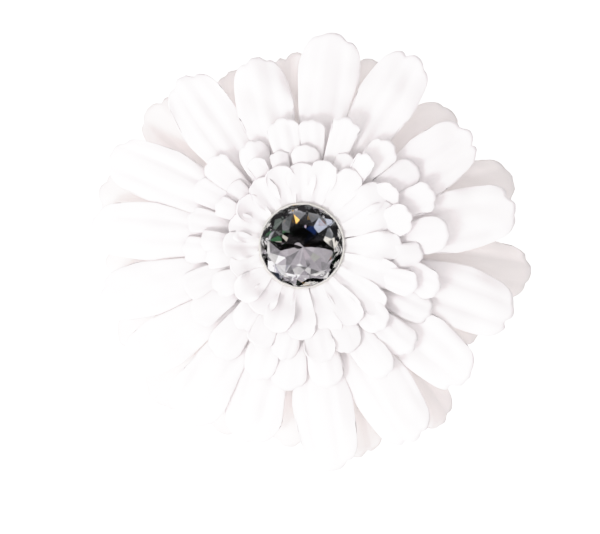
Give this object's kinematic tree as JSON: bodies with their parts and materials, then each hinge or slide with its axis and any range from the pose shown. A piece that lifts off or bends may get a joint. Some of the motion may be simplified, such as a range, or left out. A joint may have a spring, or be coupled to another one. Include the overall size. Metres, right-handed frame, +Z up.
{
  "type": "flower hair clip",
  "caption": "Fabric gerbera daisy hair clip: stacked die-cut petal layers round a faceted gem, glued to a sprung toothed metal clip.",
  "frame": {"origin": "point where the flower's axis meets the flat underside of the clip's lower jaw, which is the plane that the clip lies on", "axes": "+Z up along the flower's axis, out of the gem's face; +X along the clip, towards its toothed tip"},
  "size_m": [0.1021, 0.1003, 0.0235],
  "materials": {
    "petal_cloth": "stiffened polyester satin, heat-set, soft sheen",
    "white_plastic": "moulded, satin",
    "clear_gem": "clear acrylic, faceted and polished",
    "mirror_foil": "silver mirror coat",
    "set_glue": "set hot-melt glue, cloudy",
    "white_felt": "pressed felt, fuzzy",
    "plated_steel": "bright nickel plate with fine draw marks",
    "spring_steel": "drawn wire"
  },
  "bodies": {
    "flower": {"petals_outer_back": "petal_cloth", "petals_outer_front": "petal_cloth", "petals_middle_lower": "petal_cloth", "petals_middle_upper": "petal_cloth", "petals_inner_cup": "petal_cloth", "centre_peg": "white_plastic", "back_cap": "white_plastic", "gem": "clear_gem", "gem_foil": "mirror_foil", "gem_glue": "set_glue", "felt_glue": "set_glue", "clip_glue": "set_glue", "felt_disc": "white_felt", "clip_top_plate": "plated_steel", "clip_pivot_pin": "plated_steel", "clip_spring": "spring_steel"},
    "jaw": {"clip_lower_jaw": "plated_steel"}
  },
  "joints": [
    {"name": "jaw_open", "type": "hinge", "parent": "flower", "child": "jaw", "pos_m": [-0.009, 0, 0.0059], "axis": [0, 1, 0], "range_deg": [0, 28], "stiffness_Nm_per_rad": 0.03, "springref_deg": -103.13, "deforming": ["clip_spring"]}
  ]
}
